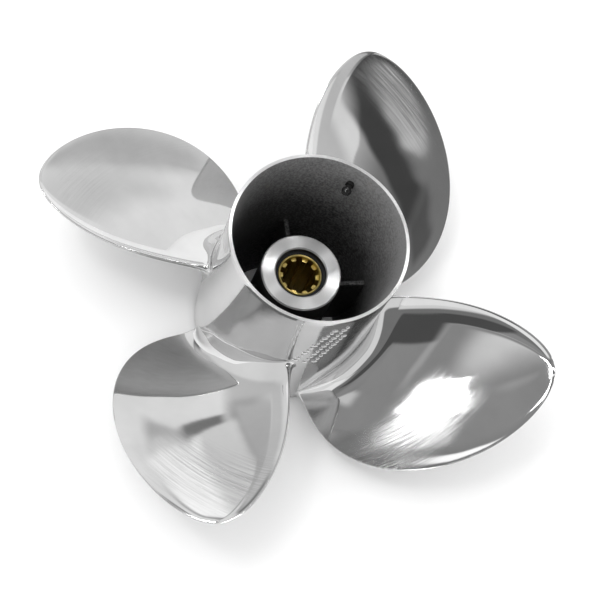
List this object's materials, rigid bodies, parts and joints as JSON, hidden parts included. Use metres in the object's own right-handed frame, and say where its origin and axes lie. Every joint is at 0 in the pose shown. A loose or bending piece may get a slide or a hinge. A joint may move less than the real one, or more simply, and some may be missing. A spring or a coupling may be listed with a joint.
{
  "type": "boat propeller",
  "caption": "Polished stainless boat propeller with cupped raked blades on an open exhaust barrel, a ribbed inner hub and a splined brass sleeve in rubber.",
  "frame": {"origin": "centre of the forward end of the hub, on the propeller's axis, in the plane the propeller stands on", "axes": "+Z along the propeller's axis towards the open aft rim; +X along the root centre line of blade 1; blades 2 to 4 follow counter-clockwise seen from aft"},
  "size_m": [0.324, 0.324, 0.13],
  "materials": {
    "polished_stainless": "mirror polished with fine hand-finishing marks",
    "machined_stainless": "turned",
    "blasted_stainless": "matt, as cast and blasted",
    "hub_rubber": "matt",
    "sleeve_brass": "machined",
    "plug_plastic": "semi-gloss"
  },
  "bodies": {
    "propeller": {"outer_barrel": "polished_stainless", "inner_hub": "machined_stainless", "rib_1": "blasted_stainless", "rib_2": "blasted_stainless", "rib_3": "blasted_stainless", "rib_4": "blasted_stainless", "blade_1": "polished_stainless", "blade_2": "polished_stainless", "blade_3": "polished_stainless", "blade_4": "polished_stainless", "rubber_bushing": "hub_rubber", "vent_plug": "plug_plastic"},
    "sleeve": {"drive_sleeve": "sleeve_brass"}
  },
  "joints": [
    {"name": "hub_windup", "type": "hinge", "parent": "propeller", "child": "sleeve", "pos_m": [0, 0, 0.04], "axis": [0, 0, 1], "range_deg": [-8, 8], "stiffness_Nm_per_rad": 40}
  ]
}
